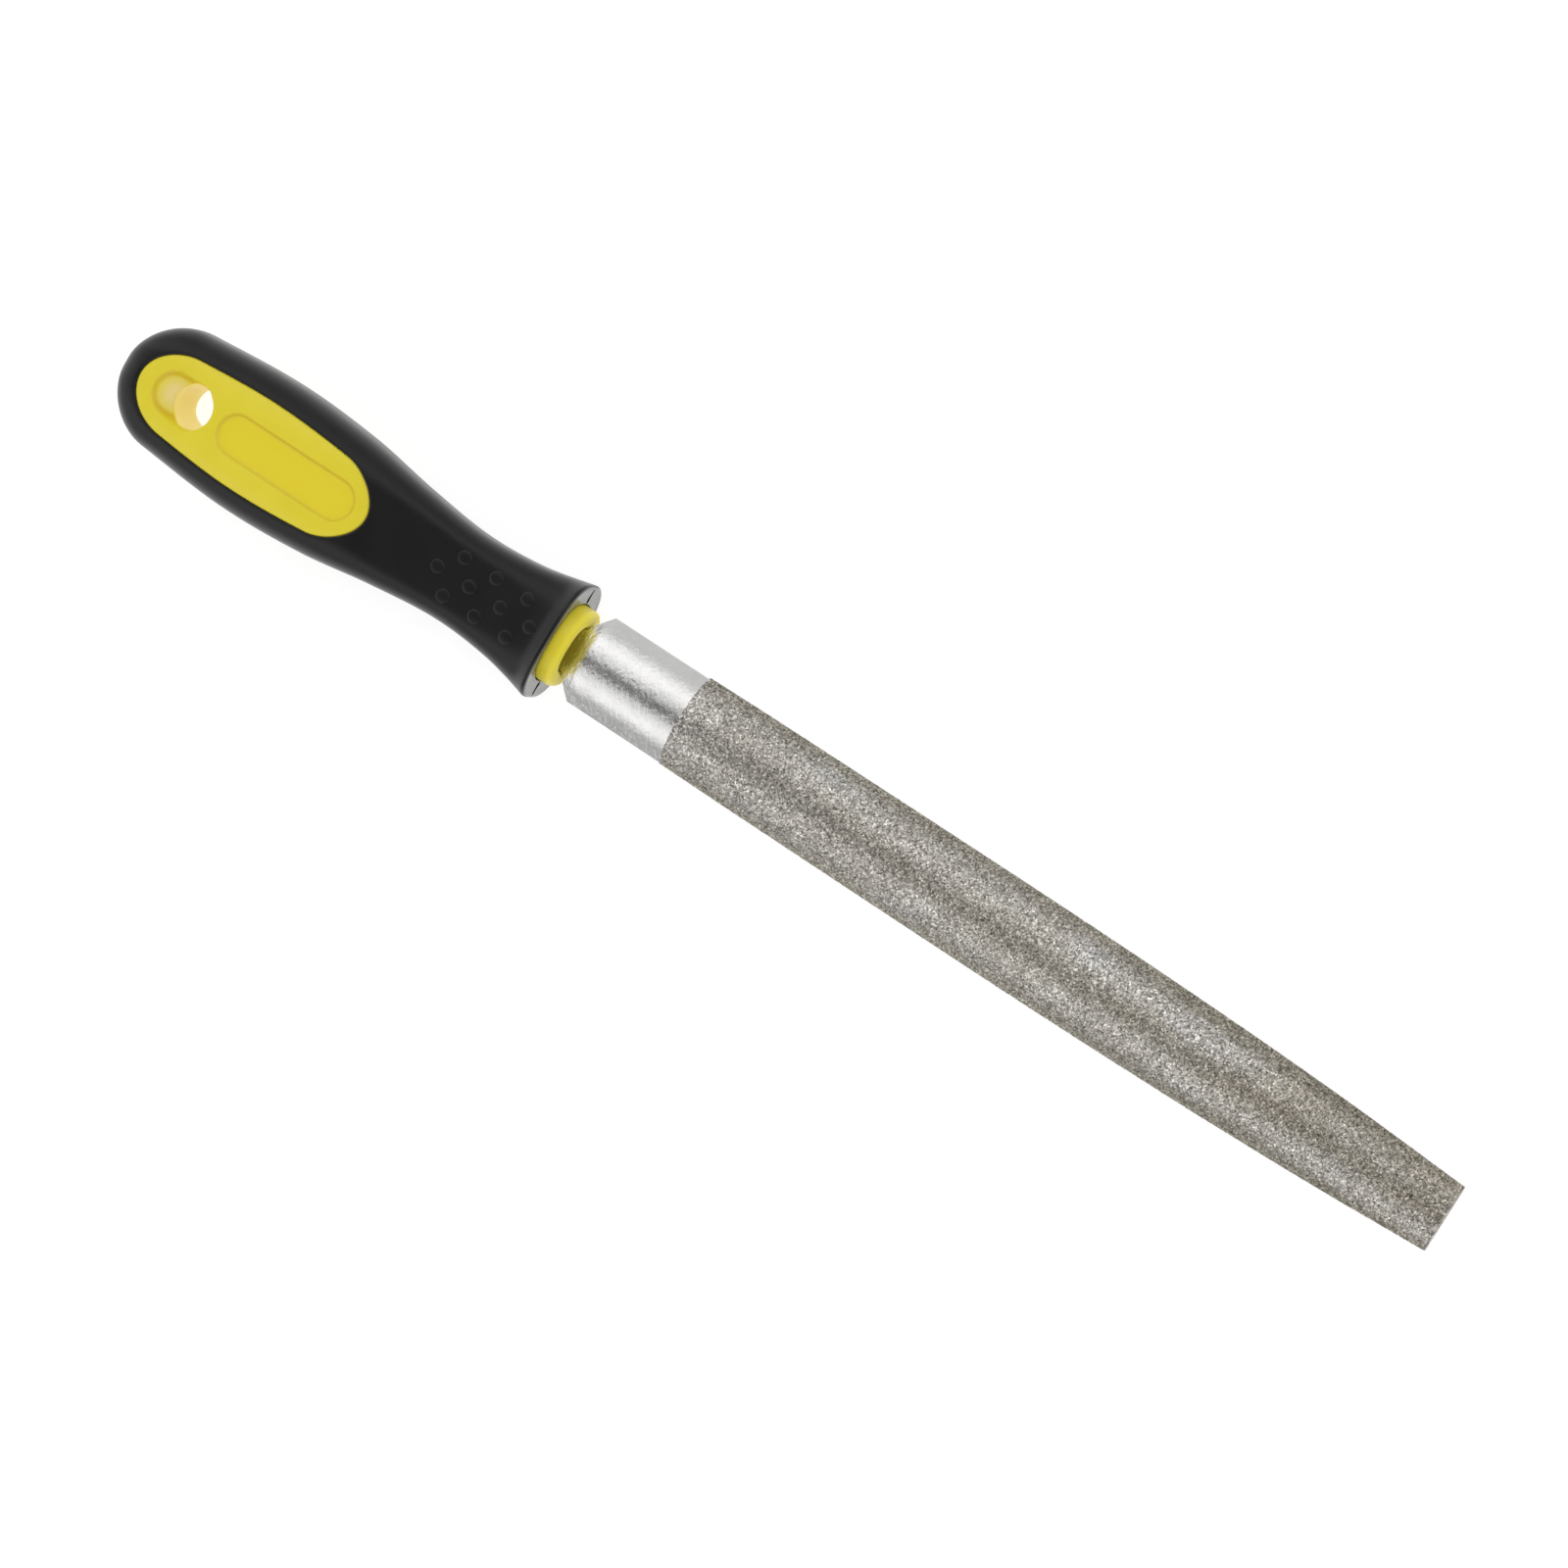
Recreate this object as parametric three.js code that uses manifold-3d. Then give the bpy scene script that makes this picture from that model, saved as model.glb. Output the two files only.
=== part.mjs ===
// Half-round diamond file with a moulded two-component handle.
// Millimetres. +X runs from the handle's butt to the blade's tip, +Z points away from the flat filing face.
// Shapes are drawn with x = 0 at the grip's front face and z = 0 on the handle's axis.
// The finished group is then moved so that the origin is the bottom centre of the whole file.

import * as THREE from 'three';
import { LoftGeometry } from 'three/addons/geometries/LoftGeometry.js';
import { mergeVertices } from 'three/addons/utils/BufferGeometryUtils.js';
import Module from 'manifold-3d';

// ---- driving dimensions, overall ----
const HANDLE_LENGTH = 108.5;
const TIP_X = 206.5;
const GAP = 0.3;                  // between touching pieces

// ---- handle shape: [x, half size] at the butt, bulb, waist and front rim ----
const RIM_HALF_THICKNESS = 9.7;
const RIM_ROUND = 0.7;
const HANDLE_HALF_WIDTH = [[-108.5, 12.05], [-96, 13.25], [-75, 14.65], [-56, 13.65],
  [-40, 11.3], [-25, 9.8], [-12, 10.6], [-RIM_ROUND, 12.95]];
const HANDLE_HALF_THICKNESS = [[-108.5, 7.8], [-96, 8.4], [-75, 9.0], [-56, 8.6],
  [-40, 6.9], [-25, 6.3], [-12, 6.6], [-4, 7.6], [-RIM_ROUND, RIM_HALF_THICKNESS]];
const HANDLE_SQUARENESS = 3.0;    // superellipse exponent of the section
const BUTT_ROUND_LENGTH = 12;     // the butt closes over this length
const BUTT_BLUNTNESS = 3;         // how full the butt is in side view
const BUTT_FLAT_SHARE = 0.06;     // share of the butt's quarter turn that stays flat at its end
const GRIP_WALL = 2.2;

// ---- window, thumb recess and hang hole ----
const WINDOW_BUTT_END = -102.6;
const WINDOW_FRONT_END = -46;
const WINDOW_MARGIN = 4.9;        // from the window's edge to the handle's side
const WINDOW_BUTT_ROUND = 10;
const WINDOW_FRONT_ROUND = 9.5;
const PAD_SINK = 0.25;            // the yellow pad lies this far below the grip
const RECESS_CENTRES = [-77.7, -53.6];
const RECESS_RADIUS = 4.3;
const RECESS_DEPTH = 0.5;
const HOLE_X = -89.2;
const HOLE_RADIUS = 4.6;
const SCOOP_RADIUS = 4.4;
const SCOOP_FLOOR = 6.2;          // height of the scoop's floor at the edge of the hole
const SCOOP_SLOPE = 24 * Math.PI / 180;
const SCOOP_LENGTH = 20;

// ---- nose ring and tang socket ----
const RING_HALF = [8.6, 7.6];
const RING_OUT = 3.1;
const RING_ROOT = -6;
const RING_ROOT_TAPER = 3;        // the root is this much smaller on every side
const RING_SHOULDER = -1.8;       // where the ring reaches its full size
const RING_SQUARENESS = 2.5;
const RING_LIP = 1.2;
const MOUTH_HALF = [5.15, 4.9];
const MOUTH_FLOOR = -1.5;
const MOUTH_FLARE = 0.7;
const SOCKET_END_ROOM = 2;        // free length beyond the tang's end

// ---- grip details ----
const BUMP_OUTER_Y = 4.4;
const BUMP_OUTER_PLACES = [-24.4, -16.6, -8.8];
const BUMP_MIDDLE_PLACES = [-28.4, -20.6, -12.8, -5.0];
const BUMP_RADIUS = 1.4;
const BUMP_HEIGHT = 0.45;
const SLIT_WIDTH = 0.7;
const SLIT_DEPTH = 1.2;
const SLIT_OUTER_Y = 11.8;

// ---- steel blade and its coat ----
const SHANK_X = 6.3;              // where the shoulders reach the full width
const TANG_X = 3.2;               // where the shoulders meet the tang
const SHOULDER_ROOT = [0.6, 5.5, 2.3];    // length, half width and half height beside the tang
const COAT_X = 28.9;
const CROWN_RADIUS = 12.5;
const FLAT_Z = -2.9;              // the coated flat filing face
const COAT_HALF_WIDTH = [[28.9, 9.85], [45, 10.0], [115, 10.0], [152, 9.5], [180, 8.6], [206.5, 7.15]];
const COAT_CROWN_Z = [[28.9, 2.95], [60, 3.0], [115, 2.95], [160, 2.0], [206.5, 0.6]];
const COAT_WALL = 0.45;
const BARE_HALF_WIDTH = 9.6;
const BARE_FLAT_Z = -2.6;
const BARE_CROWN_Z = 2.7;
const TANG_HALF = [[TANG_X, 4.78, 2.1], [-20, 4.2, 1.9], [-50, 3.0, 1.5], [-58, 2.2, 1.2]];
const TANG_CHAMFER = 0.6;
const TANG_OVERLAP = 0.5;         // the tang reaches this far into the shoulders
const COAT_OVERLAP = 2;           // the coated length's steel reaches this far into the shank

// ---- how finely the shapes are divided ----
const HANDLE_STATIONS = 20;
const HANDLE_SEGMENTS = 24;
const BUTT_STEPS = 5;
const WINDOW_STEPS = 28;
const RECESS_SEGMENTS = 8;
const CYLINDER_SEGMENTS = 24;
const MOUTH_SEGMENTS = 20;
const ROUND_ANGLES = [30, 60, 90];
const DOME_SEGMENTS = [8, 6];
const CROWN_STEPS = 12;
const COAT_STATIONS = 14;
const THROUGH = 40;               // longer than the handle is thick

const wasm = await Module();
wasm.setup();

// A smooth value at x on the curve through [x, value] points.
function smoothAt(points, x) {
  const last = points.length - 1;
  let i = 0;
  while (i < last - 1 && x > points[i + 1][0]) i += 1;
  const slope = (k) => {
    const a = points[Math.max(k - 1, 0)];
    const b = points[Math.min(k + 1, last)];
    return (b[1] - a[1]) / (b[0] - a[0]);
  };
  const [x0, y0] = points[i];
  const [x1, y1] = points[i + 1];
  const span = x1 - x0;
  const t = THREE.MathUtils.clamp((x - x0) / span, 0, 1);
  const rise = y0 * (1 + 2 * t) * (1 - t) ** 2 + y1 * t * t * (3 - 2 * t);
  return rise + span * (slope(i) * t * (1 - t) ** 2 - slope(i + 1) * t * t * (1 - t));
}

// A closed three.js geometry as a solid for joining and cutting.
function solid(geometry) {
  const bare = new THREE.BufferGeometry();
  bare.setAttribute('position', geometry.attributes.position);
  bare.setIndex(geometry.index);
  const merged = mergeVertices(bare, 1e-4);
  const index = merged.index.array;
  const position = merged.attributes.position;
  const corners = [];
  for (let i = 0; i < index.length; i += 3) {
    const [a, b, c] = index.slice(i, i + 3);
    if (a !== b && b !== c && c !== a) corners.push([a, b, c]);
  }
  const point = (k) => new THREE.Vector3().fromBufferAttribute(position, k);
  const signedVolume = ([a, b, c]) => point(a).dot(point(b).cross(point(c)));
  const volume = corners.reduce((sum, corner) => sum + signedVolume(corner), 0);
  const outward = volume > 0 ? corners : corners.map(([a, b, c]) => [a, c, b]);
  return new wasm.Manifold(new wasm.Mesh({
    numProp: 3,
    vertProperties: Float32Array.from(position.array),
    triVerts: Uint32Array.from(outward.flat()),
  }));
}

// A finished solid as a named mesh with its own material.
function piece(name, body, color, roughness, metalness) {
  const mesh = body.getMesh();
  const geometry = new THREE.BufferGeometry();
  geometry.setAttribute('position', new THREE.BufferAttribute(Float32Array.from(mesh.vertProperties), 3));
  geometry.setIndex(new THREE.BufferAttribute(Uint32Array.from(mesh.triVerts), 1));
  geometry.computeVertexNormals();
  const material = new THREE.MeshStandardMaterial({ color, roughness, metalness });
  const part = new THREE.Mesh(geometry, material);
  part.name = name;
  return part;
}

// A closed body through rings of [y, z] points, each ring { x, points }, with flat ends.
function loft(rings) {
  const sections = rings.map(({ x, points }) => points.map(([y, z]) => new THREE.Vector3(x, y, z)));
  return solid(new LoftGeometry(sections, { capStart: true, capEnd: true }));
}

function superellipse(halfY, halfZ, squareness, segments) {
  const power = (value) => Math.sign(value) * Math.abs(value) ** (2 / squareness);
  return Array.from({ length: segments }, (_, i) => {
    const angle = 2 * Math.PI * i / segments;
    return [halfY * power(Math.cos(angle)), halfZ * power(Math.sin(angle))];
  });
}

function rectangle(halfY, halfZ, chamfer) {
  const [y, z, c] = [halfY, halfZ, chamfer];
  return [
    [y, -z + c], [y, z - c], [y - c, z], [-y + c, z],
    [-y, z - c], [-y, -z + c], [-y + c, -z], [y - c, -z],
  ];
}

// The rings of a quarter-round edge that ends at x = front.
function roundedEdge(ring, front, radius) {
  return ROUND_ANGLES.map((degrees) => {
    const turn = THREE.MathUtils.degToRad(degrees);
    return ring(front - radius * (1 - Math.sin(turn)), radius * (1 - Math.cos(turn)));
  });
}

// ---- the handle's outer shape, moved inwards by inset ----
function handleShape(inset) {
  const roundStart = BUTT_ROUND_LENGTH - HANDLE_LENGTH;
  const roundLength = BUTT_ROUND_LENGTH - inset;
  const ring = (x, shrink) => {
    const s = Math.max(0, (roundStart - x) / roundLength);
    const fullness = (1 - s ** BUTT_BLUNTNESS) ** (1 / BUTT_BLUNTNESS);
    const halfY = (smoothAt(HANDLE_HALF_WIDTH, x) - inset) * Math.sqrt(1 - s * s);
    const halfZ = (smoothAt(HANDLE_HALF_THICKNESS, x) - inset) * fullness;
    return { x, points: superellipse(halfY - shrink, halfZ - shrink, HANDLE_SQUARENESS, HANDLE_SEGMENTS) };
  };
  const rings = [];
  for (let i = 0; i < BUTT_STEPS; i += 1) {
    const share = THREE.MathUtils.lerp(BUTT_FLAT_SHARE, 1, i / BUTT_STEPS);
    rings.push(ring(roundStart - roundLength * Math.cos(share * Math.PI / 2), 0));
  }
  const reachesRim = inset < RIM_ROUND;
  const front = reachesRim ? -RIM_ROUND : -inset;
  for (let i = 0; i < HANDLE_STATIONS; i += 1) {
    rings.push(ring(THREE.MathUtils.lerp(roundStart, front, i / (HANDLE_STATIONS - 1)), 0));
  }
  if (reachesRim) rings.push(...roundedEdge(ring, 0, RIM_ROUND));
  return loft(rings);
}

// Height of the handle's upper surface over the point (x, y).
function topHeight(x, y) {
  const share = Math.abs(y) / smoothAt(HANDLE_HALF_WIDTH, x);
  const fullness = (1 - share ** HANDLE_SQUARENESS) ** (1 / HANDLE_SQUARENESS);
  return smoothAt(HANDLE_HALF_THICKNESS, x) * fullness;
}

// A plan outline cut straight through the handle's thickness.
function throughPrism(outline) {
  const geometry = new THREE.ExtrudeGeometry(outline, {
    depth: THROUGH,
    bevelEnabled: false,
    curveSegments: RECESS_SEGMENTS,
  });
  return solid(geometry.translate(0, 0, -THROUGH / 2));
}

// ---- cutters and pads shared by the core and the grip ----
function windowPrism(grow) {
  const low = WINDOW_BUTT_END - grow;
  const high = WINDOW_FRONT_END + grow;
  const outline = new THREE.Shape();
  const side = [];
  for (let i = 0; i <= WINDOW_STEPS; i += 1) {
    const x = (low + high) / 2 - (high - low) / 2 * Math.cos(Math.PI * i / WINDOW_STEPS);
    const towardsButt = Math.max(0, 1 - (x - low) / (WINDOW_BUTT_ROUND + grow));
    const towardsFront = Math.max(0, 1 - (high - x) / (WINDOW_FRONT_ROUND + grow));
    const round = Math.sqrt((1 - towardsButt ** 2) * (1 - towardsFront ** 2));
    side.push([x, (smoothAt(HANDLE_HALF_WIDTH, x) - WINDOW_MARGIN + grow) * round]);
  }
  side.forEach(([x, y], i) => (i === 0 ? outline.moveTo(x, 0) : outline.lineTo(x, y)));
  side.slice(1, -1).reverse().forEach(([x, y]) => outline.lineTo(x, -y));
  return throughPrism(outline);
}

function thumbRecess() {
  const [butt, front] = RECESS_CENTRES;
  const outline = new THREE.Shape();
  outline.absarc(butt, 0, RECESS_RADIUS, Math.PI / 2, 3 * Math.PI / 2);
  outline.absarc(front, 0, RECESS_RADIUS, -Math.PI / 2, Math.PI / 2);
  return throughPrism(outline).subtract(handleShape(PAD_SINK + RECESS_DEPTH));
}

// The hole is a straight bore, with a sloped scoop towards the butt on each face.
function hangHole() {
  const bore = new THREE.CylinderGeometry(HOLE_RADIUS, HOLE_RADIUS, THROUGH, CYLINDER_SEGMENTS);
  let hole = solid(bore.rotateX(Math.PI / 2).translate(HOLE_X, 0, 0));
  const floorToAxis = SCOOP_RADIUS / Math.cos(SCOOP_SLOPE) - HOLE_RADIUS * Math.tan(SCOOP_SLOPE);
  for (const face of [1, -1]) {
    const scoop = new THREE.CylinderGeometry(SCOOP_RADIUS, SCOOP_RADIUS, SCOOP_LENGTH, CYLINDER_SEGMENTS);
    scoop.translate(0, SCOOP_LENGTH / 2, 0);
    scoop.rotateZ(Math.PI / 2).rotateY(SCOOP_SLOPE);
    scoop.translate(HOLE_X, 0, SCOOP_FLOOR + floorToAxis);
    if (face < 0) scoop.rotateX(Math.PI);
    hole = hole.add(solid(scoop));
  }
  return hole;
}

// The nose ring, wider by grow on every side. Its root tapers to stay inside the handle's waist.
function ringBody(grow) {
  const [halfY, halfZ] = RING_HALF;
  const ring = (x, shrink) => ({
    x,
    points: superellipse(halfY + grow - shrink, halfZ + grow - shrink, RING_SQUARENESS, HANDLE_SEGMENTS),
  });
  return loft([
    ring(RING_ROOT, RING_ROOT_TAPER),
    ring(RING_SHOULDER, 0),
    ring(RING_OUT - RING_LIP, 0),
    ...roundedEdge(ring, RING_OUT, RING_LIP),
  ]);
}

// The mouth of the nose ring, its flared lip and the tapered socket behind it.
function tangSocket() {
  const [halfY, halfZ] = MOUTH_HALF;
  const ring = (x, grow) => ({
    x,
    points: superellipse(halfY + grow, halfZ + grow, RING_SQUARENESS, MOUTH_SEGMENTS),
  });
  const mouth = loft([
    ring(MOUTH_FLOOR, 0),
    ring(RING_OUT - MOUTH_FLARE, 0),
    ring(RING_OUT + GAP, MOUTH_FLARE),
  ]);
  const clear = TANG_HALF.map(([x, y, z]) => ({ x, points: rectangle(y + GAP, z + GAP, TANG_CHAMFER) }));
  const deepest = clear[clear.length - 1];
  clear.push({ x: deepest.x - SOCKET_END_ROOM, points: deepest.points });
  return mouth.add(loft(clear.reverse()));
}

function handleCore() {
  const inner = handleShape(GRIP_WALL + GAP);
  const pads = handleShape(PAD_SINK).intersect(windowPrism(0));
  return inner
    .add(pads)
    .add(ringBody(0))
    .subtract(thumbRecess())
    .subtract(hangHole())
    .subtract(tangSocket());
}

// Low domes on both faces of the waist: three rows, the middle one staggered.
function gripBumps() {
  const places = BUMP_MIDDLE_PLACES.map((x) => [x, 0]);
  for (const x of BUMP_OUTER_PLACES) places.push([x, BUMP_OUTER_Y], [x, -BUMP_OUTER_Y]);
  const domes = places.flatMap(([x, y]) => [1, -1].map((face) => {
    const dome = new THREE.SphereGeometry(BUMP_RADIUS, ...DOME_SEGMENTS).rotateX(Math.PI / 2);
    dome.scale(1, 1, 2 * BUMP_HEIGHT / BUMP_RADIUS);
    return solid(dome.translate(x, y, face * (topHeight(x, y) - BUMP_HEIGHT)));
  }));
  return wasm.Manifold.union(domes);
}

// Short slits at mid height in the grip's front face.
function partingSlits() {
  const length = SLIT_OUTER_Y - RING_HALF[0];
  const slit = (side) => solid(new THREE.BoxGeometry(2 * SLIT_DEPTH, length, SLIT_WIDTH)
    .translate(0, side * (RING_HALF[0] + length / 2), 0));
  return slit(1).add(slit(-1));
}

function handleGrip() {
  return handleShape(0)
    .add(gripBumps())
    .subtract(handleShape(GRIP_WALL))
    .subtract(windowPrism(GAP))
    .subtract(ringBody(GAP))
    .subtract(partingSlits());
}

// ---- blade ----
// Half-round section: flat underside, short upright edges and a crown of one radius.
function halfRound(halfWidth, flatZ, crownZ) {
  const reach = Math.asin(halfWidth / CROWN_RADIUS);
  const points = [[-halfWidth, flatZ], [0, flatZ], [halfWidth, flatZ]];
  for (let i = 0; i <= CROWN_STEPS; i += 1) {
    const angle = reach * (1 - 2 * i / CROWN_STEPS);
    points.push([CROWN_RADIUS * Math.sin(angle), crownZ - CROWN_RADIUS * (1 - Math.cos(angle))]);
  }
  return points;
}

// The coated length, moved inwards by inset on all sides, from x = start to its tip.
function coatedLength(start, inset) {
  const rings = [];
  for (let i = 0; i < COAT_STATIONS; i += 1) {
    const x = THREE.MathUtils.lerp(start, TIP_X - inset, i / (COAT_STATIONS - 1));
    const halfWidth = smoothAt(COAT_HALF_WIDTH, x) - inset;
    rings.push({ x, points: halfRound(halfWidth, FLAT_Z + inset, smoothAt(COAT_CROWN_Z, x) - inset) });
  }
  return loft(rings);
}

function blade() {
  const [, tangHalfY, tangHalfZ] = TANG_HALF[0];
  const [rootLength, rootHalfY, rootHalfZ] = SHOULDER_ROOT;
  const shank = loft([
    { x: TANG_X, points: halfRound(tangHalfY, -tangHalfZ, tangHalfZ) },
    { x: TANG_X + rootLength, points: halfRound(rootHalfY, -rootHalfZ, rootHalfZ) },
    { x: SHANK_X, points: halfRound(BARE_HALF_WIDTH, BARE_FLAT_Z, BARE_CROWN_Z) },
    { x: COAT_X - GAP, points: halfRound(BARE_HALF_WIDTH, BARE_FLAT_Z, BARE_CROWN_Z) },
  ]);
  const tang = loft(TANG_HALF.map(([x, y, z]) => ({
    x: x === TANG_X ? x + TANG_OVERLAP : x,
    points: rectangle(y, z, TANG_CHAMFER),
  })).reverse());
  return shank.add(tang).add(coatedLength(COAT_X - COAT_OVERLAP, COAT_WALL + GAP));
}

function diamondCoat() {
  return coatedLength(COAT_X, 0).subtract(coatedLength(COAT_X - COAT_OVERLAP, COAT_WALL));
}

const file = new THREE.Group();
file.add(piece('blade', blade(), 0xc4c6c8, 0.28, 1.0));
file.add(piece('diamond_coat', diamondCoat(), 0x8c877e, 0.6, 0.7));
file.add(piece('handle_core', handleCore(), 0xd8cd2e, 0.42, 0.0));
file.add(piece('handle_grip', handleGrip(), 0x26262a, 0.62, 0.0));
file.position.set((HANDLE_LENGTH - TIP_X) / 2, 0, RIM_HALF_THICKNESS);

export default file;
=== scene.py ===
"""Half-round diamond file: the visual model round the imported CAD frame, for Blender 4.5."""

import math

import bmesh
import bpy
import numpy as np
from mathutils import Matrix, Vector
from mathutils.geometry import delaunay_2d_cdt


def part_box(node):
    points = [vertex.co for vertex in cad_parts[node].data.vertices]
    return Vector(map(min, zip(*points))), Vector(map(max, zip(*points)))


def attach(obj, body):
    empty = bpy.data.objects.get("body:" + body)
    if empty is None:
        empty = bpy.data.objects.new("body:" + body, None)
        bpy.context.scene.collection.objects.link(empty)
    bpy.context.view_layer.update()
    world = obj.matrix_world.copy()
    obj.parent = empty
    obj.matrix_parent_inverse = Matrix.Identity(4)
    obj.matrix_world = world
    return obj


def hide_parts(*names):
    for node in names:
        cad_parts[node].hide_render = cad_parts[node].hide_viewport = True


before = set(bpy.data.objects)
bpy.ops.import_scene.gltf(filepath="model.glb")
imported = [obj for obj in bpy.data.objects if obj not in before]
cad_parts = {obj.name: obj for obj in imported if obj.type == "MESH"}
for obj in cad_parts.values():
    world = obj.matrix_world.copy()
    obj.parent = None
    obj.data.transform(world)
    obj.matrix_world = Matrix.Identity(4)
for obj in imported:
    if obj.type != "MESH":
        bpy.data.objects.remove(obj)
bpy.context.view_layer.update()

# Shapes are worked out in millimetres with x = 0 at the grip's front face and z = 0 on the handle's axis.
GRIP_LOW, GRIP_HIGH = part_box("handle_grip")
SHIFT = np.array([GRIP_HIGH.x, 0.0, (GRIP_LOW.z + GRIP_HIGH.z) / 2]) * 1000
RANDOM = np.random.default_rng(7)

# ---- handle: (x, half size) points from the butt to the front rim ----
HANDLE_LENGTH = 108.5
RIM_ROUND = 0.7
RIM_HALF = 9.7
HALF_WIDTH = [
    (-108.5, 12.05), (-96, 13.25), (-75, 14.65), (-56, 13.65),
    (-40, 11.3), (-25, 9.8), (-12, 10.6), (-RIM_ROUND, 12.95),
]
HALF_THICKNESS = [
    (-108.5, 7.8), (-96, 8.4), (-75, 9.0), (-56, 8.6), (-40, 6.9),
    (-25, 6.3), (-12, 6.6), (-4, 7.6), (-RIM_ROUND, RIM_HALF),
]
CROWN_CUT = [  # how much the round section's top is cut down to a nearly flat one
    (-108.5, 0.0), (-96, 0.25), (-75, 0.3), (-50, 0.6), (-40, 0.75),
    (-22, 0.7), (-12, 0.4), (-4, 0.05), (0, 0.0),
]
LEAST_CUT = 0.01
CROWN_SAG = 0.22
CROWN_BLEND = 0.34
SQUARENESS = 2.9
BUTT_ROUND = 12.0
BUTT_START = BUTT_ROUND - HANDLE_LENGTH
BUTT_FLAT_SHARE = 0.004
GRIP_WALL = 2.2

# ---- window, pad, thumb recess, scoop and hang hole ----
WINDOW = (-102.6, -46.0)
WINDOW_MARGIN = 4.9
WINDOW_ROUNDS = (10.0, 9.5)
SEAM = 0.08
LIP = 0.3
WINDOW_WALL = 1.1
PAD_SINK = 0.18
PAD_ROUND = 0.6
RECESS = (-77.7, -53.6)
RECESS_RADIUS, RECESS_DEPTH, RECESS_STEP = 4.3, 0.7, 0.7
HOLE_X, HOLE_R, HOLE_ROUND = -89.2, 4.6, 0.6
SCOOP_TIP, SCOOP_HALF, SCOOP_DEPTH = -98.6, 4.6, 2.3
SCOOP_ROUND, SCOOP_SLOPE, SCOOP_FADE = 4.6, 0.35, 3.0

# ---- nose ring, bumps and slits ----
RING = (8.6, 7.6)
RING_OUT, RING_LIP, RING_SQUARENESS = 3.1, 1.2, 2.5
RING_CLEAR = 0.22
MOUTH = (5.15, 4.9)
MOUTH_FLARE = 0.7
SOCKET_SQUARENESS = 4.0
FACE_LIP = 0.35
FACE_DISH = 0.05
BUMPS = [(x, 0.0) for x in (-28.4, -20.6, -12.8, -5.4)]
BUMPS += [(x, y) for x in (-24.4, -16.6, -8.8) for y in (4.4, -4.4)]
BUMP_R, BUMP_H = 1.5, 0.24
SLIT_START, SLIT_LENGTH, SLIT_WIDTH, SLIT_DEPTH = 0.55, 3.1, 0.62, 1.2

# ---- blade ----
TIP_X, COAT_X = 206.5, 28.9
CROWN_R, FLAT_Z = 12.5, -2.9
COAT_WIDTH = [(28.9, 9.85), (45, 10.0), (115, 10.0), (152, 9.5), (180, 8.6), (206.5, 7.15)]
COAT_CROWN = [(28.9, 2.95), (60, 3.0), (115, 2.95), (160, 2.0), (206.5, 0.6)]
# x, half width and half height
TANG = [(-58, 2.2, 1.2), (-50, 3.0, 1.5), (-20, 4.2, 1.9), (0, 4.7, 2.05), (3.0, 4.78, 2.1)]
SHOULDER_X, SHOULDER_LENGTH, SHOULDER_BULGE = 3.3, 3.0, 0.85
SHOULDER_START = (4.95, 2.15)
SHANK = (9.6, -2.6, 2.7)  # half width, flat and crown
SHANK_ARC = 7.6  # the crown is straight beyond this half width
STEEL_EDGE, COAT_EDGE = 0.18, 0.3
STEEL_BELOW = 0.75
COAT_WALL = 0.45
GRIT = 0.34

# ---- how finely the shapes are divided ----
ACROSS = 721
WIDE = 46.0  # the handle's skin is laid out flat at about its real width
COLUMNS = 93
OUTER_SPACING, INNER_SPACING = 0.52, 2.2
WINDOW_COUNT, HOLE_COUNT, RECESS_COUNT, OVAL_COUNT = 320, 96, 200, 144
QUARTER = (22, 45, 68, 90)
TINY = 1e-6


def smooth_at(points, x):
    """Values at x on the smooth curve through (x, value) points."""
    xs = np.array([p[0] for p in points], float)
    ys = np.array([p[1] for p in points], float)
    slopes = np.empty_like(ys)
    slopes[1:-1] = (ys[2:] - ys[:-2]) / (xs[2:] - xs[:-2])
    slopes[0] = (ys[1] - ys[0]) / (xs[1] - xs[0])
    slopes[-1] = (ys[-1] - ys[-2]) / (xs[-1] - xs[-2])
    x = np.asarray(x, float)
    i = np.clip(np.searchsorted(xs, x, side="left") - 1, 0, len(xs) - 2)
    span = xs[i + 1] - xs[i]
    t = np.clip((x - xs[i]) / span, 0, 1)
    level = ys[i] * (1 + 2 * t) * (1 - t) ** 2 + ys[i + 1] * t * t * (3 - 2 * t)
    return level + span * (slopes[i] * t * (1 - t) ** 2 - slopes[i + 1] * t * t * (1 - t))


def smooth_min(a, b, k):
    h = np.clip(0.5 + 0.5 * (b - a) / k, 0, 1)
    return b * (1 - h) + a * h - k * h * (1 - h)


def lengths(vectors):
    """The vectors' lengths as a column."""
    return np.linalg.norm(vectors, axis=1)[:, None]


def section_at(x, yz):
    """Points (x, y, z) of a section that lies in one plane."""
    return np.column_stack([np.full(len(yz), x), yz])


def bridge(a, b):
    """Quads between two closed loops of the same length, given as lists of indices."""
    n = len(a)
    return [(a[k], a[(k + 1) % n], b[(k + 1) % n], b[k]) for k in range(n)]


def strip(a, b):
    """Quads between two open rows of the same length."""
    return [(a[k], a[k + 1], b[k + 1], b[k]) for k in range(len(a) - 1)]


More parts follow.
